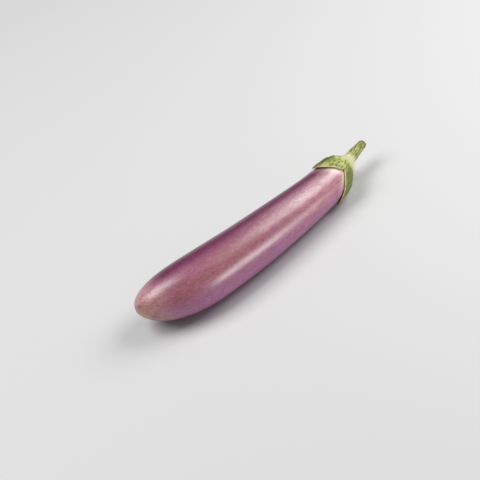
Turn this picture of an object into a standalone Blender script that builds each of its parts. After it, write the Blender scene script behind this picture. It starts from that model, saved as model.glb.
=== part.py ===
"""A slender pale-purple eggplant as picked, lying on its side on a small flat spot.

It has three solids, each with its own function: the fruit, the lobed calyx that caps its
shoulder, and the cut stem that stands on the calyx. Every one of them is first laid out around a
straight axis, where x runs from the blossom end to the shoulder, and then bent with the fruit, so
what fits together straight still fits once it is bent.

Angles round the axis are in degrees from the top of the lying fruit, turning towards -Y.
"""

import math

import bmesh
import bpy
from mathutils import Vector

# The fruit, in metres.
FRUIT_LENGTH = 0.2035  # blossom end to the middle of the shoulder, along the axis
BELLY_RADIUS = 0.0211
NECK_RADIUS = 0.0137
BLOSSOM_END_LENGTH = 0.0586  # from the blossom end to the widest ring
SHOULDER_LENGTH = 0.021  # the rounding from the neck over to the stem
BLOSSOM_END_FULLNESS = 2.5  # 2 is an ellipse, more is blunter
SHOULDER_FULLNESS = 2.2
NECK_TAPER_EASE = 1.34  # 1 narrows evenly from belly to shoulder, more keeps the belly full

# How the fruit is bent and how it lies. The belly bows out towards -Y.
BLOSSOM_END_BEND = 0.0113  # how far each end has bent away from the belly's own direction
NECK_BEND = 0.0116
CROOK_LENGTH = 0.045  # the last of the neck, which bends a little more
CROOK_SIDE_BEND = 0.0017
CROOK_UP_BEND = 0.0027
LEAN_SHARE = 0.85  # the neck end is thinner, so the fruit leans that share of its taper towards it
LEAN = math.atan(LEAN_SHARE * (BELLY_RADIUS - NECK_RADIUS) / FRUIT_LENGTH)
REST_DEPTH = 0.00045  # how much of the round underside is pressed flat

# The calyx, in metres along the fruit's surface from the middle of the shoulder.
FIT_GAP = 0.0003  # between neighbouring solids
CALYX_THICKNESS = 0.0014
MARGIN_THICKNESS = 0.0008  # at the calyx's free edge
MIDRIB_HEIGHT = 0.0005  # what stands up along the middle of each lobe
COLLAR_HEIGHT = 0.0050  # the fleshy collar under the stem, above the calyx
COLLAR_SPREAD = 0.0095  # how far the collar runs out over the calyx, from the stem's side
COLLAR_EASE = 2.8  # 1 is a straight cone, more is a hollower flare

# Each lobe: the angle of its tip, how far the tip reaches, and how far the fold along its middle
# stands off the fruit. Then the notch after it: its angle and how far it reaches.
LOBES = (
    (-36.0, 0.0328, 0.0020, 42.0, 0.0178),
    (126.0, 0.0358, 0.0004, 162.0, 0.0200),
    (198.0, 0.0330, 0.0008, 228.0, 0.0205),
    (258.0, 0.0345, 0.0012, 294.0, 0.0200),
)
LOBE_FULLNESS = 0.85  # 1 gives straight-sided lobes, less gives fuller ones
FOLD_EASE = 0.65  # 1 puts the top of each fold halfway out, less puts it nearer the stem
EDGE_LIFT = 0.0005  # how far the free edge has curled away from the fruit
TIP_LIFT = 0.0008  # and how much further each tip has

# The stem, in metres.
STEM_BASE_RADIUS = 0.0054
STEM_END_RADIUS = 0.0039
STEM_LENGTH = 0.0210  # from the collar to the cut
STEM_RIDGES = 5
STEM_RIDGE_HEIGHT = 0.00022
STEM_BEND = 0.0002  # how far the cut end has bent back towards -Y
CUT_BEVEL = 0.0005

# How finely the solids are faceted.
SIDES = 60  # round the fruit and the calyx alike, so that their facets lie face to face
FRUIT_RINGS = 46
CALYX_RINGS = 16
STEM_SIDES = 40
STEM_RINGS = 12
MERIDIAN_SAMPLES = 400


def fruit_radius(x):
    """The fruit's radius at x, from 0 at the blossom end to FRUIT_LENGTH at the shoulder."""
    shoulder_from = FRUIT_LENGTH - SHOULDER_LENGTH
    past_belly = max(0.0, x - BLOSSOM_END_LENGTH) / (FRUIT_LENGTH - BLOSSOM_END_LENGTH)
    radius = BELLY_RADIUS - (BELLY_RADIUS - NECK_RADIUS) * past_belly**NECK_TAPER_EASE
    if x < BLOSSOM_END_LENGTH:
        before = 1.0 - x / BLOSSOM_END_LENGTH
        radius *= math.sqrt(max(0.0, 1.0 - before**BLOSSOM_END_FULLNESS))
    if x > shoulder_from:
        past = (x - shoulder_from) / SHOULDER_LENGTH
        radius *= math.sqrt(max(0.0, 1.0 - past**SHOULDER_FULLNESS))
    return radius


def axis_point(x):
    """The bent axis of the lying fruit at x. Past either end it runs straight on."""
    inside = min(max(x, 0.0), FRUIT_LENGTH)
    point = Vector((inside, 0.0, 0.0))
    slope = Vector((1.0, 0.0, 0.0))
    from_belly = inside - BLOSSOM_END_LENGTH
    if from_belly < 0.0:
        reach, amount = -BLOSSOM_END_LENGTH, BLOSSOM_END_BEND
    else:
        reach, amount = FRUIT_LENGTH - BLOSSOM_END_LENGTH, NECK_BEND
    point.y += amount * (from_belly / reach) ** 2
    slope.y += 2.0 * amount * from_belly / reach**2
    crooked = max(0.0, inside - (FRUIT_LENGTH - CROOK_LENGTH)) / CROOK_LENGTH
    crook_bend = Vector((0.0, CROOK_SIDE_BEND, CROOK_UP_BEND))
    point += crooked**2 * crook_bend
    slope += 2.0 * crooked / CROOK_LENGTH * crook_bend
    return point + (x - inside) * slope.normalized(), slope.normalized()


def bend(straight):
    """Where a point laid out round the straight axis goes once the fruit is bent and leaning."""
    centre, forward = axis_point(straight.x)
    side = Vector((0.0, 0.0, 1.0)).cross(forward).normalized()
    up = forward.cross(side)
    point = centre + straight.y * side + straight.z * up
    from_belly = point.x - BLOSSOM_END_LENGTH
    height = BELLY_RADIUS - REST_DEPTH + point.z
    return Vector(
        (
            BLOSSOM_END_LENGTH + from_belly * math.cos(LEAN) + height * math.sin(LEAN),
            point.y,
            height * math.cos(LEAN) - from_belly * math.sin(LEAN),
        )
    )


def round_axis(x, radius, angle):
    """The straight-axis point at that radius and angle, in degrees from the top towards -Y."""
    turn = math.radians(angle)
    return Vector((x, -radius * math.sin(turn), radius * math.cos(turn)))


class Meridian:
    """The fruit's outline from the middle of the shoulder outwards, by length along the skin."""

    def __init__(self):
        reach = FRUIT_LENGTH - BLOSSOM_END_LENGTH
        shares = [(i / MERIDIAN_SAMPLES) ** 2 for i in range(MERIDIAN_SAMPLES + 1)]
        self.points = [
            Vector((FRUIT_LENGTH - share * reach, fruit_radius(FRUIT_LENGTH - share * reach)))
            for share in shares
        ]
        self.lengths = [0.0]
        for before, after in zip(self.points, self.points[1:]):
            self.lengths.append(self.lengths[-1] + (after - before).length)

    def at(self, along):
        """(point, outward normal) in the plane of x and radius, that far from the middle."""
        after = next(
            (i for i, length in enumerate(self.lengths) if length > along),
            len(self.lengths) - 1,
        )
        start, end = self.points[after - 1], self.points[after]
        step = end - start
        share = (along - self.lengths[after - 1]) / step.length
        return start + share * step, Vector((step.y, -step.x)).normalized()

    def raised(self, along, height, angle, further=0.0):
        """The straight-axis point that high off the skin, and that much further along x."""
        point, normal = self.at(along)
        # At the very middle the outline's first step is already tilted, so its normal is set.
        if along <= 0.0:
            normal = Vector((1.0, 0.0))
        place = point + height * normal
        return round_axis(place.x + further, max(place.y, 0.0), angle)


def lobe_column(angle):
    """(reach of the calyx at that angle, share of the way from a notch to a tip, the fold)."""
    for i, (tip_angle, tip_reach, fold, after_angle, after_reach) in enumerate(LOBES):
        before_angle, before_reach = LOBES[i - 1][3:]
        before = (tip_angle - before_angle) % 360.0
        after = (after_angle - tip_angle) % 360.0
        past_notch = (angle - before_angle) % 360.0
        if past_notch < before:
            share, notch_reach = past_notch / before, before_reach
        elif past_notch < before + after:
            share, notch_reach = 1.0 - (past_notch - before) / after, after_reach
        else:
            continue
        reach = notch_reach + (tip_reach - notch_reach) * share**LOBE_FULLNESS
        return reach, share, fold * share
    raise ValueError("the lobes leave an angle uncovered")


def from_stem(along, reach):
    """The share of the way from the foot of the stem to the calyx's free edge."""
    return min(max(0.0, (along - STEM_BASE_RADIUS) / (reach - STEM_BASE_RADIUS)), 1.0)


def calyx_lift(along, reach, share, fold):
    """How far the calyx's inner face stands off the fruit."""
    out = from_stem(along, reach)
    lift = FIT_GAP + (EDGE_LIFT + TIP_LIFT * share**2) * out**4
    return lift + fold * math.sin(math.pi * out**FOLD_EASE) ** 2


def calyx_height(along, reach, share):
    """How far the calyx's outer face stands off its inner one."""
    out = from_stem(along, reach)
    height = CALYX_THICKNESS + (MARGIN_THICKNESS - CALYX_THICKNESS) * out**2
    return height + MIDRIB_HEIGHT * share**4 * math.sin(math.pi * out)


def collar_rise(along):
    """How much further along x the fleshy collar round the stem's foot carries the outer face."""
    past_stem = max(0.0, along - STEM_BASE_RADIUS) / COLLAR_SPREAD
    return COLLAR_HEIGHT * max(0.0, 1.0 - past_stem) ** COLLAR_EASE


def collar_top(meridian):
    """x of the collar's flat top, on which the stem stands."""
    height = FIT_GAP + CALYX_THICKNESS
    return meridian.raised(STEM_BASE_RADIUS, height, 0.0, COLLAR_HEIGHT).x


def new_object(name, bm, material):
    """A node of the part from a bmesh laid out in its final place."""
    bmesh.ops.recalc_face_normals(bm, faces=bm.faces)
    mesh = bpy.data.meshes.new(name)
    bm.to_mesh(mesh)
    bm.free()
    mesh.materials.append(material)
    mesh.shade_smooth()
    obj = bpy.data.objects.new(name, mesh)
    bpy.context.scene.collection.objects.link(obj)
    return obj


def new_material(name, colour, roughness):
    """A Principled material of one colour."""
    material = bpy.data.materials.new(name)
    material.use_nodes = True
    shader = material.node_tree.nodes["Principled BSDF"]
    shader.inputs["Base Color"].default_value = (*colour, 1.0)
    shader.inputs["Roughness"].default_value = roughness
    shader.inputs["Metallic"].default_value = 0.0
    return material


def bridge_rings(bm, rings):
    """Joins each ring of vertices to the next with quads."""
    for ring, following in zip(rings, rings[1:]):
        for i, vertex in enumerate(ring):
            j = (i + 1) % len(ring)
            bm.faces.new((vertex, ring[j], following[j], following[i]))


def close_end(bm, ring, middle):
    """Closes a ring with a fan of triangles round one more vertex."""
    for i, vertex in enumerate(ring):
        bm.faces.new((vertex, ring[(i + 1) % len(ring)], middle))


def make_fruit():
    """A spun profile, bent, and pressed flat where it rests."""
    bm = bmesh.new()
    profile = []
    for i in range(FRUIT_RINGS + 1):
        x = 0.5 * FRUIT_LENGTH * (1.0 - math.cos(math.pi * i / FRUIT_RINGS))
        profile.append(bm.verts.new((x, 0.0, fruit_radius(x))))
    edges = [bm.edges.new(pair) for pair in zip(profile, profile[1:])]
    bmesh.ops.spin(
        bm,
        geom=profile + edges,
        cent=(0.0, 0.0, 0.0),
        axis=(1.0, 0.0, 0.0),
        angle=2.0 * math.pi,
        steps=SIDES,
        use_merge=True,
    )
    bmesh.ops.remove_doubles(bm, verts=bm.verts, dist=1e-7)
    for vertex in bm.verts:
        vertex.co = bend(vertex.co)
    cut = bmesh.ops.bisect_plane(
        bm,
        geom=bm.verts[:] + bm.edges[:] + bm.faces[:],
        plane_co=(0.0, 0.0, 0.0),
        plane_no=(0.0, 0.0, -1.0),
        clear_outer=True,
    )
    rim = [item for item in cut["geom_cut"] if isinstance(item, bmesh.types.BMEdge)]
    bmesh.ops.contextual_create(bm, geom=rim)
    return bm


def make_calyx(meridian):
    """The lobed cap: an inner face along the fruit, an outer face, and the rim between them."""
    bm = bmesh.new()
    columns = [(360.0 * i / SIDES, *lobe_column(360.0 * i / SIDES)) for i in range(SIDES)]
    inner, outer = [], []
    for i in range(1, CALYX_RINGS + 1):
        share = i / CALYX_RINGS
        inner_ring, outer_ring = [], []
        for angle, reach, to_tip, fold in columns:
            under = reach * share
            lift = calyx_lift(under, reach, to_tip, fold)
            inner_ring.append(bm.verts.new(bend(meridian.raised(under, lift, angle))))
            over = STEM_BASE_RADIUS + (reach - STEM_BASE_RADIUS) * (i - 1) / (CALYX_RINGS - 1)
            height = calyx_height(over, reach, to_tip) + calyx_lift(over, reach, to_tip, fold)
            place = meridian.raised(over, height, angle, collar_rise(over))
            outer_ring.append(bm.verts.new(bend(place)))
        inner.append(inner_ring)
        outer.append(outer_ring)
    bridge_rings(bm, inner + outer[::-1])
    close_end(bm, inner[0], bm.verts.new(bend(meridian.raised(0.0, FIT_GAP, 0.0))))
    top = collar_top(meridian)
    close_end(bm, outer[0], bm.verts.new(bend(Vector((top, 0.0, 0.0)))))
    return bm


def stem_centre(start, share):
    """The straight-axis centre of the stem, that share of the way from the collar to the cut."""
    return Vector((start + STEM_LENGTH * share, -STEM_BEND * share**2, 0.0))


def make_stem(meridian):
    """The ridged stem, narrowing from the collar to its bevelled cut."""
    bm = bmesh.new()
    start = collar_top(meridian) + FIT_GAP
    shares = [i / (STEM_RINGS - 1) * (1.0 - CUT_BEVEL / STEM_LENGTH) for i in range(STEM_RINGS)]
    rings = []
    for share in [*shares, 1.0]:
        radius = STEM_END_RADIUS + (STEM_BASE_RADIUS - STEM_END_RADIUS) * (1.0 - share) ** 2
        if share == 1.0:
            radius -= CUT_BEVEL
        centre = stem_centre(start, share)
        forward = Vector((STEM_LENGTH, -2.0 * STEM_BEND * share, 0.0)).normalized()
        side = Vector((0.0, 0.0, 1.0)).cross(forward).normalized()
        up = forward.cross(side)
        ring = []
        for i in range(STEM_SIDES):
            turn = 2.0 * math.pi * i / STEM_SIDES
            ridged = radius + STEM_RIDGE_HEIGHT * (math.cos(STEM_RIDGES * turn) - 1.0)
            place = centre + ridged * (math.cos(turn) * up - math.sin(turn) * side)
            ring.append(bm.verts.new(bend(place)))
        rings.append(ring)
    bridge_rings(bm, rings)
    close_end(bm, rings[0], bm.verts.new(bend(stem_centre(start, 0.0))))
    close_end(bm, rings[-1], bm.verts.new(bend(stem_centre(start, 1.0))))
    return bm


def centre_on_origin(objects):
    """Moves the whole eggplant so that the middle of its box's underside is the origin."""
    corners = [vertex.co for obj in objects for vertex in obj.data.vertices]
    low = Vector([min(corner[i] for corner in corners) for i in range(3)])
    high = Vector([max(corner[i] for corner in corners) for i in range(3)])
    shift = Vector((-(low.x + high.x) / 2.0, -(low.y + high.y) / 2.0, -low.z))
    for obj in objects:
        for vertex in obj.data.vertices:
            vertex.co += shift


def main():
    for obj in list(bpy.data.objects):
        bpy.data.objects.remove(obj)
    meridian = Meridian()
    skin = new_material("skin", (0.40, 0.17, 0.27), 0.3)
    green = new_material("calyx_green", (0.36, 0.42, 0.14), 0.6)
    objects = [
        new_object("fruit", make_fruit(), skin),
        new_object("calyx", make_calyx(meridian), green),
        new_object("stem", make_stem(meridian), green),
    ]
    centre_on_origin(objects)


main()
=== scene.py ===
"""The looks of a slender mauve eggplant as picked, lying on its side.

Three fine pieces stand for the three solids: the skin of the fruit, the lobed calyx over its
shoulder, and the cut stem. They are laid out round a straight axis, where x runs from the blossom
end to the shoulder, and then bent with the fruit by the solids' own formulas. Angles round the
axis are in degrees from the top of the lying fruit, turning towards -Y. Lengths are in metres,
and in the materials in millimetres.
"""

import math

import bpy
import numpy as np
from mathutils import Matrix, Vector


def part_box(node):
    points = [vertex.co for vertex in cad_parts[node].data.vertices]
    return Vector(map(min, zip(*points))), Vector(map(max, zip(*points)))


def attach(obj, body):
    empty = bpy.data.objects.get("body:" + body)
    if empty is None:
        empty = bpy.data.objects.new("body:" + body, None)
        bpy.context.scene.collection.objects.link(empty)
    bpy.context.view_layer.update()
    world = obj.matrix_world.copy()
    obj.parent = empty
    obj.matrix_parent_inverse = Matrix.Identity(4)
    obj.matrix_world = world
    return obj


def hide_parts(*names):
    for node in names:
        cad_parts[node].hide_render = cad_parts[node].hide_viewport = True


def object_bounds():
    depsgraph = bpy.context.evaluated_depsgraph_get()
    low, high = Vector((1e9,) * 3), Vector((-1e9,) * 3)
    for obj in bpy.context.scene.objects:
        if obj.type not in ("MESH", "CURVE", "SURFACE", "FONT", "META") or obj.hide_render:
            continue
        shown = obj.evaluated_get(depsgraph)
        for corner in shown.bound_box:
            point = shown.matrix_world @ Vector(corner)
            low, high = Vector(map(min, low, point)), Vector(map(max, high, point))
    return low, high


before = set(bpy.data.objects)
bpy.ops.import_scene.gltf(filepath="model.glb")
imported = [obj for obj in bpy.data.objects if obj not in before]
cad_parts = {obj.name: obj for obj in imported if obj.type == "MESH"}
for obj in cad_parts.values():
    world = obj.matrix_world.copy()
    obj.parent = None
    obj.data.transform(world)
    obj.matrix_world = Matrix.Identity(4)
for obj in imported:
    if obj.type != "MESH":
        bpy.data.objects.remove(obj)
cad_low, cad_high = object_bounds()

# The solids' own sizes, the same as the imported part's.
FRUIT_LENGTH = 0.2035
BELLY_RADIUS = 0.0211
NECK_RADIUS = 0.0137
BLOSSOM_END_LENGTH = 0.0586
SHOULDER_LENGTH = 0.021
BLOSSOM_END_FULLNESS = 2.5
SHOULDER_FULLNESS = 2.2
NECK_TAPER_EASE = 1.34
BLOSSOM_END_BEND = 0.0113
NECK_BEND = 0.0116
CROOK_LENGTH = 0.045
CROOK_SIDE_BEND = 0.0017
CROOK_UP_BEND = 0.0027
LEAN_SHARE = 0.85
LEAN = math.atan(LEAN_SHARE * (BELLY_RADIUS - NECK_RADIUS) / FRUIT_LENGTH)
REST_DEPTH = 0.00045
FIT_GAP = 0.0003
CALYX_THICKNESS = 0.0014
MARGIN_THICKNESS = 0.0008
COLLAR_HEIGHT = 0.0050
COLLAR_SPREAD = 0.0095
COLLAR_EASE = 2.8
# Each lobe's tip: its angle, reach and fold. Then the notch after it: its angle and reach.
LOBES = (
    (-36.0, 0.0328, 0.0020, 42.0, 0.0178),
    (126.0, 0.0358, 0.0004, 162.0, 0.0200),
    (198.0, 0.0330, 0.0008, 228.0, 0.0205),
    (258.0, 0.0345, 0.0012, 294.0, 0.0200),
)
LOBE_FULLNESS = 0.85
FOLD_EASE = 0.65
EDGE_LIFT = 0.0005
TIP_LIFT = 0.0008
STEM_BASE_RADIUS = 0.0054
STEM_END_RADIUS = 0.0039
STEM_LENGTH = 0.0210
STEM_RIDGES = 5
STEM_RIDGE_HEIGHT = 0.00022
STEM_BEND = 0.0002

# How finely the pieces are made, in rings along them and points round them.
SKIN_RINGS = 380
SKIN_SIDES = 224
CALYX_COLUMNS = 360
CALYX_RINGS = 96
SLEEVE_RINGS = 14
MARGIN_RINGS = 7
STEM_RINGS = 120
STEM_SIDES = 200
CUT_EDGE_RINGS = 14
CUT_RINGS = 16
MERIDIAN_SAMPLES = 6000
OUTLINE_RINGS = 1200  # how finely the plain fruit is measured, to lay the skin on the solid
OUTLINE_SIDES = 180

# The skin's small shapes.
LUMP_HEIGHT = 0.00016  # the slow unevenness of a grown fruit
LUMP_SPACING = 0.036
LUMP_STRETCH = 0.6  # below 1, the lumps are drawn out along the fruit
FLUTE_HEIGHT = 0.00004  # shallow lengthwise flutes, strongest at the neck
FLUTES = 9
FLUTES_FROM = 0.35  # the share of the fruit's length from which the flutes deepen
FLUTE_WANDER = 14.0  # degrees that the flutes stray round the fruit
FLUTE_WANDER_TURN = 5.0
CREASE_HEIGHT = 0.00006  # fine creases drawn in round the blossom end
CREASES = 7
CREASE_TURN = 40.0
CREASE_REACH = 0.0035
SCAR_RADIUS = 0.0016  # the corky scar at the blossom end
SCAR_DEPTH = 0.00045
SCAR_RIM_SHARE = 0.15  # the height of the scar's rim as a share of its depth
PRESS_EASE = 0.00035  # how softly the underside turns into its flat spot

# The calyx's small shapes.
KEEL_BOWS = (16.0, -6.0, 6.0, -6.0)  # degrees that each lobe's keel bows off its middle
MIDRIB_HEIGHT = 0.00055
MIDRIB_WIDTH = 0.00075
VEIN_HEIGHT = 0.00018
VEIN_SPACING = 0.0031
VEIN_SLANT = 1.15  # how far along the lobe a side vein runs for each step across it
BLISTER_HEIGHT = 0.00018
BLISTER_SPACING = 0.0032
BLISTER_STRETCH = 0.45
MARGIN_ROUNDING = 0.00045
MARGIN_WAVE = 0.00045  # how uneven the free edge is
MARGIN_WAVE_SPACING = 0.55
SLEEVE_HEIGHT = 0.0026  # how far the calyx's collar runs up the stem
SLEEVE_FOOT = 0.0022  # and how far out over the collar it turns
SLEEVE_TUCK = 0.00012  # how far the sleeve's top edge stands inside the stem's skin

# The stem's small shapes.
STEM_SINK = 0.0012  # how far the stem's foot stands down inside the collar
STEM_GROOVE_HEIGHT = 0.00010
STEM_GROOVES = 13
GROOVE_WANDER = 2.2  # how far the grooves stray round the stem, in radians of a groove's wave
GROOVE_WANDER_LENGTH = 0.006
STEM_ROUGH_HEIGHT = 0.00006
STEM_ROUGH_SPACING = 0.0022
STEM_NARROWING = 0.00040
CUT_ROUNDING = 0.0019
CUT_DISH = 0.00035
CUT_RIPPLE = 0.00008  # the rings that stand up on the cut
CUT_RIPPLE_TURN = 14.0

# Where the camera stands, turned about the lying fruit.
CAMERA_AZIMUTH = math.radians(-29.4)
CAMERA_ELEVATION = math.radians(47.5)
CAMERA_ROLL = math.radians(12.2)
CAMERA_DISTANCE = 0.805
CAMERA_LENS = 80.0
SENSOR_WIDTH = 36.0
CLIP_START = 0.01
PIVOT_HEIGHT = 0.020
AIM_ACROSS = -0.0188  # the point aimed at, across and up the picture from the pivot
AIM_UP = -0.0064

# The studio. Each light has its direction from the eggplant, its distance, its sides along and
# across the fruit, and its power in watts.
NECK_WINDOW = ((0.72, -0.08, 0.69), 1.0, (0.66, 0.58), 9.1)
TIP_WINDOW = ((-0.43, 0.26, 0.86), 1.4, (1.0, 0.7), 19.0)
FRONT_STRIP = ((0.42, -0.90, 0.12), 2.0, (0.9, 0.66), 23.0)
SURROUND_LIGHT = 0.24  # the pale surround, as light on the eggplant
BACKDROP = 0.80  # and as seen behind it
FLOOR_HALF_WIDTH = 1.6
FLOOR_GREY = (0.50, 0.50, 0.50)
FLOOR_ROUGHNESS = 0.6
FLOOR_FADE_START = 0.40  # the floor fades out between these distances from the eggplant
FLOOR_FADE_END = 1.10


def srgb(red, green, blue):
    """A colour given in 0 to 255, as the linear numbers that a shader takes."""
    shares = np.array([red, green, blue]) / 255.0
    linear = np.where(shares <= 0.04045, shares / 12.92, ((shares + 0.055) / 1.055) ** 2.4)
    return (*(float(value) for value in linear), 1.0)


def smooth(low, high, value):
    """0 below low, 1 above high, and an even S between them."""
    share = np.clip((value - low) / (high - low), 0.0, 1.0)
    return share * share * (3.0 - 2.0 * share)


def waves(seed, count, wavelength, *places):
    """A smooth uneven field between about -1 and 1, from plane waves in fixed directions."""
    rng = np.random.default_rng(seed)
    total = np.zeros(np.broadcast(*places).shape)
    for _ in range(count):
        direction = rng.normal(size=len(places))
        direction /= np.linalg.norm(direction)
        turn = 2.0 * math.pi / (wavelength * rng.uniform(0.7, 1.5))
        phase = rng.uniform(0.0, 2.0 * math.pi)
        total += np.sin(sum(d * p for d, p in zip(direction, places)) * turn + phase)
    return total / math.sqrt(2.0 * count)


def fruit_radius(x):
    """The fruit's radius at x, from 0 at the blossom end to FRUIT_LENGTH at the shoulder."""
    past_belly = np.maximum(0.0, x - BLOSSOM_END_LENGTH) / (FRUIT_LENGTH - BLOSSOM_END_LENGTH)
    radius = BELLY_RADIUS - (BELLY_RADIUS - NECK_RADIUS) * past_belly**NECK_TAPER_EASE
    before = np.clip(1.0 - x / BLOSSOM_END_LENGTH, 0.0, 1.0)
    radius = radius * np.sqrt(1.0 - before**BLOSSOM_END_FULLNESS)
    shoulder_from = FRUIT_LENGTH - SHOULDER_LENGTH
    past = np.clip((x - shoulder_from) / SHOULDER_LENGTH, 0.0, 1.0)
    return radius * np.sqrt(1.0 - past**SHOULDER_FULLNESS)


def bend(straight):
    """Where points laid out round the straight axis go once the fruit is bent and leaning."""
    x, y, z = straight[..., 0], straight[..., 1], straight[..., 2]
    inside = np.clip(x, 0.0, FRUIT_LENGTH)
    from_belly = inside - BLOSSOM_END_LENGTH
    towards_tip = from_belly < 0.0
    reach = np.where(towards_tip, -BLOSSOM_END_LENGTH, FRUIT_LENGTH - BLOSSOM_END_LENGTH)
    amount = np.where(towards_tip, BLOSSOM_END_BEND, NECK_BEND)
    crooked = np.maximum(0.0, inside - (FRUIT_LENGTH - CROOK_LENGTH)) / CROOK_LENGTH
    crook_slope = 2.0 * crooked / CROOK_LENGTH
    bow = amount * (from_belly / reach) ** 2
    bow_slope = 2.0 * amount * from_belly / reach**2
    rise = crooked**2 * CROOK_UP_BEND
    centre = np.stack([inside, bow + crooked**2 * CROOK_SIDE_BEND, rise], axis=-1)
    slopes = (np.ones_like(x), bow_slope + crook_slope * CROOK_SIDE_BEND, crook_slope * CROOK_UP_BEND)
    forward = np.stack(slopes, axis=-1)
    forward /= np.linalg.norm(forward, axis=-1, keepdims=True)
    centre = centre + (x - inside)[..., None] * forward
    side = np.cross((0.0, 0.0, 1.0), forward)
    side /= np.linalg.norm(side, axis=-1, keepdims=True)
    up = np.cross(forward, side)
    point = centre + y[..., None] * side + z[..., None] * up
    along = point[..., 0] - BLOSSOM_END_LENGTH
    height = BELLY_RADIUS - REST_DEPTH + point[..., 2]
    return np.stack(
        (
            BLOSSOM_END_LENGTH + along * math.cos(LEAN) + height * math.sin(LEAN),
            point[..., 1],
            height * math.cos(LEAN) - along * math.sin(LEAN),
        ),
        axis=-1,
    )


def round_axis(x, radius, angle):
    """Straight-axis points at those radii and angles, in degrees from the top towards -Y."""
    turn = np.radians(angle)
    x, radius, turn = np.broadcast_arrays(x, radius, turn)
    return np.stack((x, -radius * np.sin(turn), radius * np.cos(turn)), axis=-1)


class Meridian:
    """The fruit's outline from the middle of the shoulder outwards, by length along the skin."""

    def __init__(self):
        shares = np.linspace(0.0, 1.0, MERIDIAN_SAMPLES + 1) ** 2
        self.x = FRUIT_LENGTH - shares * (FRUIT_LENGTH - BLOSSOM_END_LENGTH)
        self.radius = fruit_radius(self.x)
        steps = np.hypot(np.diff(self.x), np.diff(self.radius))
        self.along = np.concatenate(([0.0], np.cumsum(steps)))
        slope_x = np.gradient(self.x, self.along)
        slope_radius = np.gradient(self.radius, self.along)
        self.normal_x = slope_radius / np.hypot(slope_x, slope_radius)
        self.normal_radius = -slope_x / np.hypot(slope_x, slope_radius)
        self.normal_x[0], self.normal_radius[0] = 1.0, 0.0

    def raised(self, along, height, angle, further=0.0):
        """Straight-axis points that high off the skin, and that much further along x."""
        x = np.interp(along, self.along, self.x)
        radius = np.interp(along, self.along, self.radius)
        x = x + height * np.interp(along, self.along, self.normal_x) + further
        radius = radius + height * np.interp(along, self.along, self.normal_radius)
        return round_axis(x, np.maximum(radius, 0.0), angle)

    def along_of(self, x):
        """The length along the skin at x, which grows on past the belly."""
        inside = np.interp(-x, -self.x, self.along)
        return inside + np.maximum(0.0, BLOSSOM_END_LENGTH - x)


meridian = Meridian()


def lobe_columns(angle):
    """For each angle: the calyx's reach, the share of the way to the lobe's tip, the lobe's fold,
    the degrees past its tip, the bow of its keel, and its degrees before and after the tip."""
    columns = np.zeros((7, *np.shape(angle)))
    for i, (tip_angle, tip_reach, tip_fold, after_angle, after_reach) in enumerate(LOBES):
        before_angle, before_reach = LOBES[i - 1][3:]
        before = (tip_angle - before_angle) % 360.0
        after = (after_angle - tip_angle) % 360.0
        past_notch = (angle - before_angle) % 360.0
        rising = past_notch < before
        falling = ~rising & (past_notch < before + after)
        own = rising | falling
        to_tip = np.where(rising, past_notch / before, 1.0 - (past_notch - before) / after)
        to_tip = np.clip(to_tip, 0.0, 1.0)
        notch_reach = np.where(rising, before_reach, after_reach)
        lobe_reach = notch_reach + (tip_reach - notch_reach) * to_tip**LOBE_FULLNESS
        own_columns = (lobe_reach, to_tip, tip_fold, past_notch - before, KEEL_BOWS[i], before, after)
        for column, value in zip(columns, own_columns):
            column[own] = np.broadcast_to(value, np.shape(angle))[own]
    return columns


def new_piece(name, node, slot, points, faces, material, **attributes):
    """One piece in place of a node, with a value or a vector on each point for its material."""
    mesh = bpy.data.meshes.new(name)
    mesh.from_pydata((points.reshape(-1, 3) + SHIFT).tolist(), [], faces)
    for label, values in attributes.items():
        kind = "FLOAT_VECTOR" if values.ndim == 2 else "FLOAT"
        attribute = mesh.attributes.new(label, kind, "POINT")
        field = "vector" if values.ndim == 2 else "value"
        attribute.data.foreach_set(field, np.ascontiguousarray(values, np.float32).ravel())
    mesh.materials.append(material)
    mesh.shade_smooth()
    mesh.validate()
    piece = bpy.data.objects.new(name, mesh)
    bpy.context.scene.collection.objects.link(piece)
    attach(piece, "root")
    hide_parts(node)
    return piece


def closed_faces(rings, sides):
    """Quads between rings of points that are numbered one ring after another, and a fan to a
    middle point at each end. The two middle points are numbered after the rings."""
    i, j = np.meshgrid(np.arange(rings - 1), np.arange(sides), indexing="ij")
    k = (j + 1) % sides
    quads = np.stack((i * sides + j, i * sides + k, (i + 1) * sides + k, (i + 1) * sides + j), -1)
    total = rings * sides
    last = total - sides
    first_fan = [(total, (i + 1) % sides, i) for i in range(sides)]
    last_fan = [(last + i, last + (i + 1) % sides, total + 1) for i in range(sides)]
    return quads.reshape(-1, 4).tolist() + first_fan + last_fan


def skin_relief(x, angle):
    """How far the skin's lumps, flutes and creases stand off the plain round fruit."""
    bare = round_axis(x, fruit_radius(x), angle)
    places = (bare[..., 0] * LUMP_STRETCH, bare[..., 1], bare[..., 2])
    lumps = LUMP_HEIGHT * waves(3, 9, LUMP_SPACING, *places)
    at_neck = smooth(FLUTES_FROM * FRUIT_LENGTH, FRUIT_LENGTH, x)
    wander = FLUTE_WANDER * np.sin(x / FRUIT_LENGTH * FLUTE_WANDER_TURN)
    flutes = FLUTE_HEIGHT * (0.25 + at_neck) * np.cos(np.radians(FLUTES * (angle + wander)))
    creases = CREASE_HEIGHT * np.cos(np.radians(CREASES * angle + CREASE_TURN))
    creases = creases * np.exp(-((x / CREASE_REACH) ** 2))
    roundness = fruit_radius(x) / BELLY_RADIUS
    return (lumps + flutes) * np.minimum(1.0, 1.6 * roundness) + creases * roundness


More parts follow.
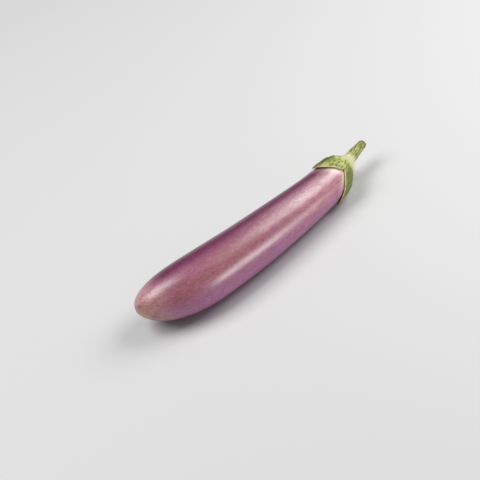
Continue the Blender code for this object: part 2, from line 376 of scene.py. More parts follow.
def scar_sink(x):
    """How far in the blossom end's scar lies, with a low rim round it."""
    radius = fruit_radius(x)
    scar = np.exp(-((radius / SCAR_RADIUS) ** 2))
    rim = np.exp(-(((radius - 1.5 * SCAR_RADIUS) / (0.5 * SCAR_RADIUS)) ** 2))
    return SCAR_DEPTH * (scar - SCAR_RIM_SHARE * rim) * (x < BLOSSOM_END_LENGTH)


def skin_points():
    """(straight, bent) points of the skin, ring by ring, from the blossom end on."""
    t = np.linspace(0.0, math.pi, SKIN_RINGS + 2)[1:-1, None]
    x = 0.5 * FRUIT_LENGTH * (1.0 - np.cos(t))
    angle = np.linspace(0.0, 360.0, SKIN_SIDES, endpoint=False)[None, :]
    radius = fruit_radius(x) + skin_relief(x, angle)
    straight = round_axis(x + scar_sink(x), np.maximum(radius, 0.0), angle)
    ends = round_axis(np.array([SCAR_DEPTH, FRUIT_LENGTH]), np.zeros(2), 0.0)
    straight = np.concatenate((straight.reshape(-1, 3), ends))
    lying = bend(straight)
    lying[:, 2] = 0.5 * (lying[:, 2] + np.sqrt(lying[:, 2] ** 2 + PRESS_EASE**2))
    lying[:, 2] -= lying[:, 2].min()
    return straight, lying


def make_skin(material):
    """The fruit's skin, whole under the calyx too."""
    straight, lying = skin_points()
    angle = np.degrees(np.arctan2(-straight[:, 1], straight[:, 2]))
    past_calyx = meridian.along_of(straight[:, 0]) - lobe_columns(angle)[0]
    faces = closed_faces(SKIN_RINGS, SKIN_SIDES)
    attributes = {"unbent": straight * 1000.0, "past_calyx": past_calyx * 1000.0}
    return new_piece("fruit_skin", "fruit", "skin", lying, faces, material, **attributes)


def keeled(out, columns):
    """(share, fold, degrees past the keel): each lobe's fold stands along a bowed keel."""
    share, fold, past_tip, bow, span_before, span_after = columns[1:]
    past_keel = past_tip - bow * np.sin(math.pi * np.clip(out, 0.0, 1.0))
    shift = past_tip - past_keel
    span = np.where(past_keel < 0.0, span_before + shift, span_after - shift)
    keel_share = np.clip(1.0 - np.abs(past_keel) / span, 0.0, 1.0)
    return share, fold * keel_share, past_keel


def calyx_inner_lift(out, share, fold):
    """How far the calyx's inner face stands off the fruit."""
    lift = FIT_GAP + (EDGE_LIFT + TIP_LIFT * share**2) * out**4
    return lift + fold * np.sin(math.pi * out**FOLD_EASE) ** 2


def from_stem(along, reach):
    """The share of the way from the foot of the stem to the calyx's free edge."""
    return np.clip((along - STEM_BASE_RADIUS) / (reach - STEM_BASE_RADIUS), 0.0, 1.0)


def margin_steps(count):
    """Shares of the way out: even at first, then close together over the rounded margin."""
    even = np.linspace(0.0, 1.0, count - MARGIN_RINGS, endpoint=False)
    return even, np.sin(np.linspace(0.0, 0.5 * math.pi, MARGIN_RINGS + 1))[:-1]


def collar_rise(along):
    """How much further along x the fleshy collar round the stem's foot carries the outer face."""
    past_stem = np.maximum(0.0, along - STEM_BASE_RADIUS) / COLLAR_SPREAD
    return COLLAR_HEIGHT * np.maximum(0.0, 1.0 - past_stem) ** COLLAR_EASE


def calyx_outer(along, angle, reach, columns, edge):
    """Straight-axis points of the calyx's outer face, with its ribs, veins and blisters."""
    out = from_stem(along, reach)
    share, fold, past_keel = keeled(out, columns)
    thickness = CALYX_THICKNESS + (MARGIN_THICKNESS - CALYX_THICKNESS) * out**2
    rounding = math.sqrt(1.0 - edge**2)
    radius = np.interp(along, meridian.along, meridian.radius)
    across = np.radians(past_keel) * radius
    on_lobe = smooth(0.12, 0.4, out) * (1.0 - smooth(0.86, 1.0, out))
    rib = MIDRIB_HEIGHT * np.exp(-((across / MIDRIB_WIDTH) ** 2)) * on_lobe * share
    side_vein = (along - VEIN_SLANT * np.abs(across)) / VEIN_SPACING
    vein = VEIN_HEIGHT * np.exp(3.0 * (np.cos(2.0 * math.pi * side_vein) - 1.0)) * on_lobe
    straight = round_axis(np.interp(along, meridian.along, meridian.x), radius, angle)
    places = (straight[..., 0] * BLISTER_STRETCH, straight[..., 1], straight[..., 2])
    blisters = BLISTER_HEIGHT * waves(11, 12, BLISTER_SPACING, *places) * smooth(0.0, 0.3, out)
    height = (thickness + rib + vein + blisters) * rounding
    lift = calyx_inner_lift(out, share, fold)
    return meridian.raised(along, height + lift, angle, collar_rise(along))


def sleeve(angle, outer_start, outer_next):
    """Rings that carry the collar up the stem's side in one hollow sweep."""
    share = np.full_like(angle, SLEEVE_HEIGHT / STEM_LENGTH)
    top = stem_side(share, angle, -SLEEVE_TUCK)
    down = stem_side(share - 0.02, angle, -SLEEVE_TUCK) - top
    down /= np.linalg.norm(down, axis=-1, keepdims=True)
    away = outer_next - outer_start
    away /= np.linalg.norm(away, axis=-1, keepdims=True)
    span = np.linalg.norm(outer_start - top, axis=-1, keepdims=True)
    rings = []
    for t in np.linspace(0.0, 1.0, SLEEVE_RINGS, endpoint=False):
        h00 = 2.0 * t**3 - 3.0 * t**2 + 1.0
        h10 = t**3 - 2.0 * t**2 + t
        h01 = -2.0 * t**3 + 3.0 * t**2
        h11 = t**3 - t**2
        rings.append(h00 * top + h10 * span * down + h01 * outer_start + h11 * span * away)
    return np.stack(rings)


def collar_top():
    """x of the collar's flat top, on which the stem stands."""
    height = FIT_GAP + CALYX_THICKNESS
    return float(meridian.raised(STEM_BASE_RADIUS, height, 0.0, COLLAR_HEIGHT)[..., 0])


def calyx_reach(angle, columns):
    """How far the calyx reaches at each angle, with its uneven margin."""
    reach, share = columns[0], columns[1]
    turn = np.radians(angle)
    wave = MARGIN_WAVE * waves(21, 7, MARGIN_WAVE_SPACING, np.cos(turn), np.sin(turn))
    return reach + wave * (1.0 - share**2) - 0.5 * MARGIN_WAVE * (1.0 - share)


def calyx_outside(angle, reach, columns):
    """(rings, leaf values) of the outer face, from the collar over the rounded margin."""
    even, last = margin_steps(CALYX_RINGS)
    margin_from = reach - MARGIN_ROUNDING
    foot = STEM_BASE_RADIUS + SLEEVE_FOOT
    steps = [(foot + (margin_from - foot) * t, 0.0) for t in even]
    steps += [(margin_from + MARGIN_ROUNDING * t, t) for t in last]
    steps.append((reach, 1.0))
    rings, leaf = [], []
    for along, edge in steps:
        rings.append(calyx_outer(along, angle, reach, columns, edge))
        out = from_stem(along, reach)
        leaf.append(np.stack((out, columns[1], keeled(out, columns)[2]), -1))
    return rings, leaf


def calyx_inside(angle, reach, columns):
    """(rings, leaf values) of the inner face, from the margin back to the shoulder's middle."""
    rings, leaf = [], []
    for t in np.linspace(1.0, 0.0, CALYX_RINGS // 2, endpoint=False)[1:]:
        along = reach * t
        out = from_stem(along, reach)
        share, fold, past_keel = keeled(out, columns)
        rings.append(meridian.raised(along, calyx_inner_lift(out, share, fold), angle))
        leaf.append(np.stack((out, share, past_keel), -1))
    return rings, leaf


def make_calyx(material):
    """The lobed cap: a sleeve up the stem, an outer face, and an inner face to the fruit."""
    angle = np.linspace(0.0, 360.0, CALYX_COLUMNS, endpoint=False)
    columns = lobe_columns(angle)
    reach = calyx_reach(angle, columns)
    outer, outer_leaf = calyx_outside(angle, reach, columns)
    inner, inner_leaf = calyx_inside(angle, reach, columns)
    up_stem = sleeve(angle, outer[0], outer[1])
    sleeve_leaf = np.stack((np.zeros_like(angle), columns[1], columns[3]), -1)
    straight = np.concatenate((up_stem, np.stack(outer), np.stack(inner)))
    leaf = np.stack([sleeve_leaf] * SLEEVE_RINGS + outer_leaf + inner_leaf)
    inside = np.zeros(straight.shape[:2])
    inside[SLEEVE_RINGS + len(outer) :] = 1.0
    faces = [face[::-1] for face in closed_faces(len(straight), CALYX_COLUMNS)]
    ends = np.array([straight[0].mean(axis=0), meridian.raised(0.0, FIT_GAP, 0.0)])
    straight = np.concatenate((straight.reshape(-1, 3), ends))
    leaf = np.concatenate((leaf.reshape(-1, 3), np.zeros((2, 3))))
    inside = np.concatenate((inside.ravel(), (0.0, 1.0)))
    attributes = {"unbent": straight * 1000.0, "leaf": leaf, "inside": inside}
    lying = bend(straight)
    return new_piece("calyx_cap", "calyx", "calyx_green", lying, faces, material, **attributes)


def stem_side(share, angle, further=0.0):
    """Straight-axis points on the stem's side, that share of the way from collar to cut."""
    start = collar_top() + FIT_GAP
    radius = STEM_END_RADIUS + (STEM_BASE_RADIUS - STEM_END_RADIUS) * (1.0 - share) ** 2
    narrowing = STEM_NARROWING * smooth(0.3, 1.0, share)
    turn = np.radians(angle)
    ridges = STEM_RIDGE_HEIGHT * (np.cos(STEM_RIDGES * turn) - 1.0)
    along = share * STEM_LENGTH
    wander = GROOVE_WANDER * np.sin(along / GROOVE_WANDER_LENGTH)
    grooves = STEM_GROOVE_HEIGHT * np.cos(STEM_GROOVES * turn + wander)
    rounded = np.clip((along - (STEM_LENGTH - CUT_ROUNDING)) / CUT_ROUNDING, 0.0, 1.0)
    bevel = CUT_ROUNDING * (1.0 - np.sqrt(np.clip(1.0 - rounded**2, 0.0, 1.0)))
    radius = radius + ridges + grooves * (1.0 - 0.6 * rounded) - narrowing - bevel + further
    x = start + along
    bow = -STEM_BEND * share**2
    x, radius, turn, bow = np.broadcast_arrays(x, radius, turn, bow)
    return np.stack((x, bow - radius * np.sin(turn), radius * np.cos(turn)), axis=-1)


def stem_sides(angle):
    """Rings of the stem's side, from inside the collar over the rounded edge of the cut."""
    rounding = CUT_ROUNDING / STEM_LENGTH
    up_side = np.linspace(-STEM_SINK / STEM_LENGTH, 1.0 - rounding, STEM_RINGS, endpoint=False)
    over_edge = np.sin(np.linspace(0.0, 0.5 * math.pi, CUT_EDGE_RINGS))
    shares = np.concatenate((up_side, 1.0 - rounding + rounding * over_edge))
    sides = stem_side(shares[:, None], angle[None, :])
    rough = STEM_ROUGH_HEIGHT * waves(31, 8, STEM_ROUGH_SPACING, *np.moveaxis(sides, -1, 0))
    sides[..., 1:] += rough[..., None]
    return sides


def cut_face(edge, middle):
    """Rings of the slightly dished cut, from its edge in to its middle."""
    rings = []
    for t in np.linspace(1.0, 0.0, CUT_RINGS, endpoint=False)[1:]:
        ring = middle + (edge - middle) * t
        ring[:, 0] -= CUT_DISH * (1.0 - t**2) - CUT_RIPPLE * math.sin(t * CUT_RIPPLE_TURN)
        rings.append(ring)
    return np.stack(rings)


def make_stem(material):
    """The ridged stem with its cut."""
    angle = np.linspace(0.0, 360.0, STEM_SIDES, endpoint=False)
    sides = stem_sides(angle)
    middle = sides[-1].mean(axis=0)
    dish = cut_face(sides[-1], middle)
    straight = np.concatenate((sides, dish))
    cut = np.concatenate((np.zeros(len(sides)), np.ones(len(dish))))
    cut = np.concatenate((np.repeat(cut, STEM_SIDES), (0.0, 1.0)))
    faces = closed_faces(len(straight), STEM_SIDES)
    ends = np.array([sides[0].mean(axis=0), middle - (CUT_DISH, 0.0, 0.0)])
    straight = np.concatenate((straight.reshape(-1, 3), ends))
    up_stem = (straight[:, 0] - collar_top()) * 1000.0
    attributes = {"unbent": straight * 1000.0, "cut": cut, "up_stem": up_stem}
    lying = bend(straight)
    return new_piece("stem_stalk", "stem", "stem_green", lying, faces, material, **attributes)


class Paint:
    """A material's nodes, made one call at a time. Each call gives the socket that it ends in."""

    def __init__(self, name):
        self.material = bpy.data.materials.new(name)
        self.material.use_nodes = True
        self.nodes = self.material.node_tree.nodes
        self.links = self.material.node_tree.links
        self.shader = self.nodes["Principled BSDF"]

    def node(self, kind, **settings):
        made = self.nodes.new(kind)
        for setting, value in settings.items():
            setattr(made, setting, value)
        return made

    def feed(self, socket, value):
        """A socket is linked, and a number or a colour is set."""
        if isinstance(value, bpy.types.NodeSocket):
            self.links.new(value, socket)
        else:
            socket.default_value = value

    def attribute(self, name, output="Vector"):
        return self.node("ShaderNodeAttribute", attribute_name=name).outputs[output]

    def parts(self, vector):
        split = self.node("ShaderNodeSeparateXYZ")
        self.feed(split.inputs[0], vector)
        return split.outputs[0], split.outputs[1], split.outputs[2]

    def math(self, operation, first, second=0.0, third=0.0):
        made = self.node("ShaderNodeMath", operation=operation)
        for socket, value in zip(made.inputs, (first, second, third)):
            self.feed(socket, value)
        return made.outputs[0]

    def scaled(self, vector, scale, offset=(0.0, 0.0, 0.0)):
        made = self.node("ShaderNodeVectorMath", operation="MULTIPLY_ADD")
        for socket, value in zip(made.inputs, (vector, scale, offset)):
            self.feed(socket, value)
        return made.outputs[0]

    def between(self, value, low, high, to_low=0.0, to_high=1.0):
        """to_low up to low, to_high from high on, and an even S between them."""
        made = self.node("ShaderNodeMapRange", interpolation_type="SMOOTHSTEP")
        for socket, number in zip(made.inputs, (value, low, high, to_low, to_high)):
            self.feed(socket, number)
        return made.outputs[0]

    def noise(self, vector, turns, detail, roughness=0.5, distortion=0.0, offset=(0.0, 0.0, 0.0)):
        """Noise with that many turns per millimetre along the piece, and across it."""
        along, across = turns
        made = self.node("ShaderNodeTexNoise")
        self.feed(made.inputs["Vector"], self.scaled(vector, (along, across, across), offset))
        self.feed(made.inputs["Scale"], 1.0)
        self.feed(made.inputs["Detail"], detail)
        self.feed(made.inputs["Roughness"], roughness)
        self.feed(made.inputs["Distortion"], distortion)
        return made.outputs[0]

    def mix(self, share, first, second, blend="MIX"):
        made = self.node("ShaderNodeMix", data_type="RGBA", blend_type=blend)
        for i, value in ((0, share), (6, first), (7, second)):
            self.feed(made.inputs[i], value)
        return made.outputs[2]

    def toned(self, colour, value, low, high, dark, bright):
        """The colour times dark where the value is low, and times bright where it is high."""
        return self.mix(1.0, colour, self.between(value, low, high, dark, bright), "MULTIPLY")

    def times(self, *values):
        total = values[0]
        for value in values[1:]:
            total = self.math("MULTIPLY", total, value)
        return total

    def facing(self, vector, angle, inner, outer):
        """1 within inner degrees of that angle round the fruit, down to 0 at outer degrees."""
        radial = self.scaled(vector, (0.0, 1.0, 1.0))
        unit = self.node("ShaderNodeVectorMath", operation="NORMALIZE")
        self.feed(unit.inputs[0], radial)
        dot = self.node("ShaderNodeVectorMath", operation="DOT_PRODUCT")
        turn = math.radians(angle)
        self.feed(dot.inputs[0], unit.outputs[0])
        self.feed(dot.inputs[1], (0.0, -math.sin(turn), math.cos(turn)))
        high, low = math.cos(math.radians(inner)), math.cos(math.radians(outer))
        return self.between(dot.outputs["Value"], low, high)

    def distance(self, vector, place):
        made = self.node("ShaderNodeVectorMath", operation="DISTANCE")
        self.feed(made.inputs[0], vector)
        self.feed(made.inputs[1], place)
        return made.outputs["Value"]

    def finish(self, colour, roughness, relief, depth, strength):
        """Gives the shader its colour, roughness and fine relief, and gives back the material."""
        bump = self.node("ShaderNodeBump")
        for name, value in (("Height", relief), ("Distance", depth), ("Strength", strength)):
            self.feed(bump.inputs[name], value)
        self.feed(self.shader.inputs["Base Color"], colour)
        self.feed(self.shader.inputs["Roughness"], roughness)
        self.feed(self.shader.inputs["Normal"], bump.outputs[0])
        return self.material


# The skin's colours.
MAUVE = srgb(136, 78, 108)
# Magenta, darker than the skin's own colour: real magenta with painted shade along the back.
MAGENTA_AND_SHADE = srgb(78, 8, 52)
VIOLET = srgb(142, 80, 126)
BROWN_PINK = srgb(122, 72, 76)
TIP_PALE = srgb(188, 146, 150)
TIP_TAN = srgb(156, 110, 94)
TIP_OLIVE = srgb(188, 162, 120)
NECK_PINK = srgb(160, 110, 120)
NECK_CREAM = srgb(206, 184, 166)
NECK_OLIVE = srgb(166, 138, 84)
# A paler skin colour laid where the neck's highlight falls: painted highlight.
PAINTED_HIGHLIGHT_LANE = srgb(174, 146, 152)
STRIP_PINK = srgb(206, 136, 168)
SCAR_CORK = srgb(168, 140, 104)
SCAR_RIM = srgb(112, 76, 60)

# The skin's bands: degrees round from the top, and the half widths in and beyond which a band is
# full and gone.
MAGENTA_AND_SHADE_BAND = (-70.0, 50.0, 88.0)
PAINTED_HIGHLIGHT_BAND = (10.0, 8.0, 32.0)
BROWN_BAND = (38.0, 8.0, 40.0)
VIOLET_BAND = (128.0, 26.0, 66.0)
TAN_BAND = (86.0, 38.0, 66.0)
NOTCH_BAND = (38.0, 16.0, 46.0)
SMUDGE_BAND = (47.0, 5.0, 14.0)
STRIP_BAND = (92.0, 10.0, 26.0)

# Where each change along the skin starts and is full, in millimetres: from the blossom end, from
# the calyx's edge for the fringe, and from their own middles for the patch and the scar.
NECK_TURNS_PINK = (90.0, 185.0)
PAINTED_HIGHLIGHT_STARTS = (70.0, 150.0)
TIP_PALE_REACH = (34.0, 8.0)
TIP_TAN_REACH = (44.0, 14.0)
FRINGE_REACH = (9.5, 1.5)
TIP_PATCH = (4.3, -8.0, -2.2)
TIP_OLIVE_REACH = (11.0, 4.5)
SCAR_PLACE = (0.3, 0.0, 0.0)
SCAR_RIM_REACH = (3.4, 2.5)
SCAR_CORK_REACH = (2.4, 1.7)

SKIN_COAT = 0.30
SKIN_COAT_ROUGHNESS = 0.25
SKIN_RELIEF_DEPTH = 0.00008


def skin_ground(paint, unbent, x, blotches, magenta_and_shade):
    """Mauve, pinker up the neck: a painted-highlight lane, brown-pink, violet, magenta with painted
    shade.
    """
    to_neck = paint.between(x, *NECK_TURNS_PINK)
    # A pale lane under the neck's highlight: painted highlight.
    painted_highlight = paint.times(paint.facing(unbent, *PAINTED_HIGHLIGHT_BAND), paint.between(x, *PAINTED_HIGHLIGHT_STARTS))
    brown = paint.times(
        paint.facing(unbent, *BROWN_BAND),
        paint.math("MULTIPLY_ADD", to_neck, -0.7, 1.0),
        paint.between(blotches, 0.30, 0.62, 0.45, 1.0),
    )
    colour = paint.mix(to_neck, MAUVE, NECK_PINK)
    colour = paint.mix(paint.times(painted_highlight, 0.75), colour, PAINTED_HIGHLIGHT_LANE)
    colour = paint.mix(brown, colour, BROWN_PINK)
    colour = paint.mix(paint.facing(unbent, *VIOLET_BAND), colour, VIOLET)
    return paint.mix(paint.times(magenta_and_shade, 0.92), colour, MAGENTA_AND_SHADE)


def skin_blossom_end(paint, colour, unbent, x, wander, blotches, warm):
    """The blossom end pales, with tan in front and an olive patch beside the scar."""
    pale = paint.between(paint.math("MULTIPLY_ADD", wander, 12.0, x), *TIP_PALE_REACH)
    colour = paint.mix(paint.times(pale, 0.85), colour, TIP_PALE)
    tan = paint.times(
        paint.between(paint.math("MULTIPLY_ADD", wander, 24.0, x), *TIP_TAN_REACH),
        paint.facing(unbent, *TAN_BAND),
        paint.between(warm, 0.3, 0.6, 0.55, 0.95),
    )
    colour = paint.mix(tan, colour, TIP_TAN)
    from_patch = paint.math("MULTIPLY_ADD", blotches, 6.0, paint.distance(unbent, TIP_PATCH))
    return paint.mix(paint.between(from_patch, *TIP_OLIVE_REACH), colour, TIP_OLIVE)


def skin_neck_end(paint, colour, unbent, blotches, streaks):
    """Cream skin along the calyx's edge, with an olive smudge and a bright pink strip."""
    past_calyx = paint.attribute("past_calyx", "Fac")
    fringe = paint.between(paint.math("MULTIPLY_ADD", blotches, 3.0, past_calyx), *FRINGE_REACH)
    in_notch = paint.math("MULTIPLY_ADD", paint.facing(unbent, *NOTCH_BAND), 0.75, 0.2)
    colour = paint.mix(paint.times(fringe, in_notch), colour, NECK_CREAM)
    smudge = paint.times(
        paint.facing(unbent, *SMUDGE_BAND),
        paint.between(past_calyx, 10.0, 2.5),
        paint.between(past_calyx, 0.8, 2.0),
        paint.between(streaks, 0.35, 0.6),
        0.8,
    )
    colour = paint.mix(smudge, colour, NECK_OLIVE)
    strip = paint.times(paint.facing(unbent, *STRIP_BAND), paint.between(past_calyx, 4.5, 1.0), 0.8)
    return paint.mix(strip, colour, STRIP_PINK)


def skin_mottling(paint, colour, streaks, fine, warm, magenta_and_shade):
    """Lengthwise streaks, warm and cool blotches off the magenta and its painted shade, and a fine
    mottle.
    """
    colour = paint.toned(colour, streaks, 0.25, 0.75, 0.87, 1.13)
    plain = paint.math("MULTIPLY_ADD", magenta_and_shade, -0.8, 1.0)
    for shade, low, high, most in ((BROWN_PINK, 0.46, 0.62, 0.6), (MAUVE, 0.50, 0.36, 0.5)):
        share = paint.times(paint.between(warm, low, high, 0.0, most), plain)
        colour = paint.mix(share, colour, shade)
    return paint.toned(colour, fine, 0.30, 0.70, 0.76, 1.24)


def skin_scar(paint, colour, unbent, fine):
    """The corky scar at the blossom end, in a brown rim."""
    from_scar = paint.math("MULTIPLY_ADD", fine, 1.6, paint.distance(unbent, SCAR_PLACE))
    colour = paint.mix(paint.between(from_scar, *SCAR_RIM_REACH), colour, SCAR_RIM)
    return paint.mix(paint.between(from_scar, *SCAR_CORK_REACH), colour, SCAR_CORK)


def paint_skin():
    """Mauve skin: magenta with painted shade along the back, violet low down, tan at the blossom end.
    """
    paint = Paint("eggplant_skin")
    unbent = paint.attribute("unbent")
    x, _, _ = paint.parts(unbent)
    wander = paint.noise(unbent, (0.02, 0.06), 2.0)
    blotches = paint.noise(unbent, (0.05, 0.13), 4.0, 0.55)
    streaks = paint.noise(unbent, (0.07, 0.6), 4.0, 0.65, 0.6)
    fine = paint.noise(unbent, (0.45, 1.5), 4.0, 0.65)
    warm = paint.noise(unbent, (0.14, 0.34), 5.0, 0.7, 0.0, (7.0, 3.0, 5.0))
    # The band along the back: real magenta, darkened further as painted shade.
    magenta_and_shade = paint.facing(unbent, *MAGENTA_AND_SHADE_BAND)
    colour = skin_ground(paint, unbent, x, blotches, magenta_and_shade)
    colour = skin_blossom_end(paint, colour, unbent, x, wander, blotches, warm)
    colour = skin_neck_end(paint, colour, unbent, blotches, streaks)
    colour = skin_mottling(paint, colour, streaks, fine, warm, magenta_and_shade)
    colour = skin_scar(paint, colour, unbent, fine)
    rough = paint.between(paint.math("ADD", fine, blotches), 0.7, 1.3, 0.30, 0.40)
    relief = paint.math("MULTIPLY_ADD", streaks, 0.6, fine)
    paint.shader.inputs["Coat Weight"].default_value = SKIN_COAT
    paint.shader.inputs["Coat Roughness"].default_value = SKIN_COAT_ROUGHNESS
    return paint.finish(colour, rough, relief, SKIN_RELIEF_DEPTH, 0.6)


# The calyx's and the stem's colours.
LEAF_GREEN = srgb(92, 100, 32)
LEAF_PAINTED_LIGHT = srgb(158, 162, 84)
# A lighter green for the lobes' lit top: painted light.
LEAF_DARK = srgb(44, 52, 14)
# A darker green for the lobes' side past the first keel: painted shade.
LEAF_SHADE = srgb(46, 50, 20)
CAP_CREAM = srgb(180, 178, 138)
MARGIN_CREAM = srgb(182, 174, 130)
TIP_BROWN = srgb(120, 92, 56)
TIP_DARK = srgb(72, 50, 34)
INSIDE_GREEN = srgb(178, 182, 128)
STEM_GREEN = srgb(136, 136, 62)
STEM_DARK = srgb(84, 86, 22)
STEM_PALE = srgb(162, 164, 104)
STEM_OLIVE = srgb(88, 84, 20)
CUT_PALE = srgb(172, 168, 122)
CUT_RING = srgb(116, 118, 58)
CUT_BROWN = srgb(112, 94, 50)

# Their bands and reaches, given as the skin's are: up from the collar for the stem, and out from
# the middle of its cut.
# The first band is painted light, the second painted shade.
LEAF_PAINTED_LIGHT_BAND = (8.0, 22.0, 52.0)
LEAF_SHADE_BAND = (-42.0, 30.0, 60.0)
STEM_FOOT_REACH = (9.0, 2.5)
STEM_END_REACH = (14.5, 20.5)
CUT_RING_REACH = (1.6, 2.2)
CUT_BROWN_REACH = (2.4, 3.0)

CALYX_SPECULAR = 0.45
GRAIN = (0.25, 0.75, 0.88, 1.12)  # a fine light and dark grain, as toned() takes it
GREEN_RELIEF_DEPTH = 0.00022


def leaf_greens(paint, unbent, out, past_keel, dashes, flecks):
    """Painted light on the lobes' top, dark dashes along them, and painted shade past the first keel.
    """
    # The lobes' top painted lighter where the light falls: painted light.
    painted_light_half = paint.facing(unbent, *LEAF_PAINTED_LIGHT_BAND)
    colour = paint.mix(painted_light_half, LEAF_GREEN, LEAF_PAINTED_LIGHT)
    dark = paint.times(paint.between(dashes, 0.46, 0.56), 0.75)
    colour = paint.mix(dark, colour, LEAF_GREEN)
    darker = paint.times(paint.between(flecks, 0.48, 0.58), paint.between(dashes, 0.42, 0.54), 0.7)
    colour = paint.mix(darker, colour, LEAF_DARK)
    # The side past the first keel painted darker: painted shade.
    painted_shade_half = paint.times(
        paint.facing(unbent, *LEAF_SHADE_BAND),
        paint.between(past_keel, 9.0, 1.0),
        paint.between(out, 0.22, 0.42),
        0.85,
    )
    return paint.mix(painted_shade_half, colour, LEAF_SHADE)


def leaf_tips(paint, colour, out, share, flecks):
    """The lobes' tips have dried brown."""
    tip = paint.times(
        paint.between(out, 0.70, 0.97),
        paint.between(share, 0.62, 0.95),
        paint.between(flecks, 0.25, 0.55, 0.5, 1.0),
        0.85,
    )
    colour = paint.mix(tip, colour, TIP_BROWN)
    very_tip = paint.times(paint.between(out, 0.88, 1.0), paint.between(share, 0.86, 1.0), 0.7)
    return paint.mix(very_tip, colour, TIP_DARK)


def paint_calyx():
    """Green lobes with darker dashes along them, a cream cap and edge, and brown tips."""
    paint = Paint("calyx_leaf")
    unbent = paint.attribute("unbent")
    inside = paint.attribute("inside", "Fac")
    out, share, past_keel = paint.parts(paint.attribute("leaf"))
    dashes = paint.noise(unbent, (0.16, 0.75), 3.0, 0.55, 0.4)
    flecks = paint.noise(unbent, (0.35, 0.9), 4.0, 0.6)
    patches = paint.noise(unbent, (0.10, 0.2), 2.0)
    colour = leaf_greens(paint, unbent, out, past_keel, dashes, flecks)
    cap = paint.between(paint.math("MULTIPLY_ADD", patches, 0.5, out), 0.66, 0.30)
    colour = paint.mix(paint.times(cap, 0.85), colour, CAP_CREAM)
    edge = paint.between(out, 0.94, 0.985)
    colour = paint.mix(paint.times(edge, 0.85), colour, MARGIN_CREAM)
    colour = leaf_tips(paint, colour, out, share, flecks)
    colour = paint.mix(inside, colour, INSIDE_GREEN)
    colour = paint.toned(colour, flecks, *GRAIN)
    rough = paint.between(flecks, 0.3, 0.7, 0.46, 0.62)
    relief = paint.math("MULTIPLY_ADD", dashes, 1.2, flecks)
    paint.shader.inputs["Specular IOR Level"].default_value = CALYX_SPECULAR
    return paint.finish(colour, rough, relief, GREEN_RELIEF_DEPTH, 0.7)


def paint_stem():
    """Green stem in light and dark dashes, pale at its foot, olive at its end."""
    paint = Paint("stem_green_skin")
    unbent = paint.attribute("unbent")
    up_stem = paint.attribute("up_stem", "Fac")
    dashes = paint.noise(unbent, (0.22, 0.9), 3.0, 0.55, 0.5)
    flecks = paint.noise(unbent, (0.7, 1.6), 4.0, 0.6)
    colour = paint.mix(paint.between(dashes, 0.42, 0.60), STEM_GREEN, STEM_DARK)
    pale = paint.between(dashes, 0.46, 0.34)
    colour = paint.mix(paint.times(pale, 0.8), colour, STEM_PALE)
    foot = paint.between(paint.math("MULTIPLY_ADD", flecks, 4.0, up_stem), *STEM_FOOT_REACH)
    colour = paint.mix(paint.times(foot, 0.85), colour, CAP_CREAM)
    end = paint.between(up_stem, *STEM_END_REACH)
    colour = paint.mix(paint.times(end, 0.85), colour, STEM_OLIVE)
    centre = paint.scaled(unbent, (0.0, 1.0, 1.0), (0.0, STEM_BEND * 1000.0, 0.0))
    from_middle = paint.math("MULTIPLY_ADD", flecks, 0.8, paint.distance(centre, (0.0, 0.0, 0.0)))
    face = paint.mix(paint.between(from_middle, *CUT_RING_REACH), CUT_PALE, CUT_RING)
    face = paint.mix(paint.between(from_middle, *CUT_BROWN_REACH), face, CUT_BROWN)
    colour = paint.mix(paint.attribute("cut", "Fac"), colour, face)
    colour = paint.toned(colour, flecks, *GRAIN)
    rough = paint.between(flecks, 0.3, 0.7, 0.46, 0.6)
    relief = paint.math("MULTIPLY_ADD", dashes, 1.3, flecks)
    return paint.finish(colour, rough, relief, GREEN_RELIEF_DEPTH, 0.7)


def fruit_shift():
    """The move from the formulas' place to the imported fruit's."""
    low, high = (np.array(corner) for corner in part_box("fruit"))
    t = np.linspace(0.0, math.pi, OUTLINE_RINGS)[:, None]
    x = 0.5 * FRUIT_LENGTH * (1.0 - np.cos(t))
    angle = np.linspace(0.0, 360.0, OUTLINE_SIDES, endpoint=False)[None, :]
    outline = bend(round_axis(x, fruit_radius(x), angle)).reshape(-1, 3)
    shift = (low + high) / 2.0 - (outline.min(axis=0) + outline.max(axis=0)) / 2.0
    shift[2] = 0.0
    return shift


def camera_axes():
    """(right, up, back) of the camera."""
    sine, cosine = math.sin(CAMERA_AZIMUTH), math.cos(CAMERA_AZIMUTH)
    level, rise = math.cos(CAMERA_ELEVATION), math.sin(CAMERA_ELEVATION)
    back = Vector((sine * level, -cosine * level, rise))
    right = Vector((0.0, 0.0, 1.0)).cross(back).normalized()
    up = back.cross(right)
    turned = math.cos(CAMERA_ROLL) * right - math.sin(CAMERA_ROLL) * up
    return turned, math.sin(CAMERA_ROLL) * right + math.cos(CAMERA_ROLL) * up, back


def make_camera(middle):
    """A camera near the table, aimed a little to one side of the eggplant's middle."""
    right, up, back = camera_axes()
    place = middle + CAMERA_DISTANCE * back
    target = middle + AIM_ACROSS * right + AIM_UP * up
    look = (place - target).normalized()
    across = up.cross(look).normalized()
    over = look.cross(across)
    camera = bpy.data.objects.new("camera", bpy.data.cameras.new("camera"))
    camera.data.lens = CAMERA_LENS
    camera.data.sensor_width = SENSOR_WIDTH
    camera.data.clip_start = CLIP_START
    rotation = Matrix((across, over, look)).transposed()
    camera.matrix_world = Matrix.Translation(place) @ rotation.to_4x4()
    bpy.context.scene.collection.objects.link(camera)
    bpy.context.scene.camera = camera


def make_light(name, middle, direction, distance, size, power):
    """A soft rectangular light that faces the eggplant, long side along the fruit."""
    light = bpy.data.lights.new(name, "AREA")
    light.shape = "RECTANGLE"
    light.size, light.size_y = size
    light.energy = power
    back = Vector(direction).normalized()
    across = Vector((1.0, 0.0, 0.0))
    across = (across - across.dot(back) * back).normalized()
    over = back.cross(across)
    obj = bpy.data.objects.new(name, light)
    rotation = Matrix((across, over, back)).transposed()
    obj.matrix_world = Matrix.Translation(middle + distance * back) @ rotation.to_4x4()
    obj.visible_camera = False
    bpy.context.scene.collection.objects.link(obj)
    return obj


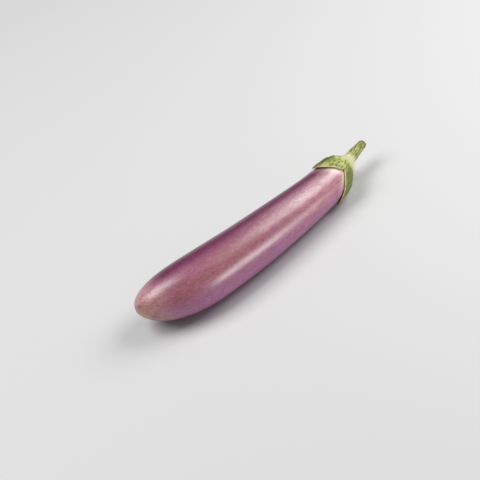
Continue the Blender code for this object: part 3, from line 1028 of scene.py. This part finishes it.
def light_only(light, pieces):
    """The light falls on the pieces alone, so the floor stays plain."""
    lit = bpy.data.collections.new("lit_by_front_strip")
    for piece in pieces:
        lit.objects.link(piece)
    light.light_linking.receiver_collection = lit


def make_floor():
    """A plain pale floor that fades into the backdrop all round."""
    mesh = bpy.data.meshes.new("floor")
    half = FLOOR_HALF_WIDTH
    corners = [(-half, -half, 0.0), (half, -half, 0.0), (half, half, 0.0), (-half, half, 0.0)]
    mesh.from_pydata(corners, [], [(0, 1, 2, 3)])
    floor = bpy.data.objects.new("floor", mesh)
    bpy.context.scene.collection.objects.link(floor)
    paint = Paint("floor_white")
    paint.shader.inputs["Base Color"].default_value = (*FLOOR_GREY, 1.0)
    paint.shader.inputs["Roughness"].default_value = FLOOR_ROUGHNESS
    place = paint.node("ShaderNodeNewGeometry").outputs["Position"]
    seen = paint.between(paint.distance(place, (0.0, 0.0, 0.0)), FLOOR_FADE_END, FLOOR_FADE_START)
    paint.feed(paint.shader.inputs["Alpha"], seen)
    mesh.materials.append(paint.material)


def make_world():
    """A pale even surround."""
    world = bpy.data.worlds.new("studio")
    world.use_nodes = True
    nodes, links = world.node_tree.nodes, world.node_tree.links
    background = nodes["Background"]
    background.inputs["Color"].default_value = (1.0, 1.0, 1.0, 1.0)
    strength = nodes.new("ShaderNodeMapRange")
    strength.inputs["To Min"].default_value = SURROUND_LIGHT
    strength.inputs["To Max"].default_value = BACKDROP
    links.new(nodes.new("ShaderNodeLightPath").outputs["Is Camera Ray"], strength.inputs["Value"])
    links.new(strength.outputs["Result"], background.inputs["Strength"])
    bpy.context.scene.world = world


SHIFT = fruit_shift()
pieces = (make_skin(paint_skin()), make_calyx(paint_calyx()), make_stem(paint_stem()))

middle = (Vector(cad_low) + Vector(cad_high)) / 2.0
middle.z = PIVOT_HEIGHT
make_camera(middle)
make_light("neck_window", middle, *NECK_WINDOW)
make_light("tip_window", middle, *TIP_WINDOW)
light_only(make_light("front_strip", middle, *FRONT_STRIP), pieces)
make_floor()
make_world()
bpy.context.scene.view_settings.view_transform = "Standard"
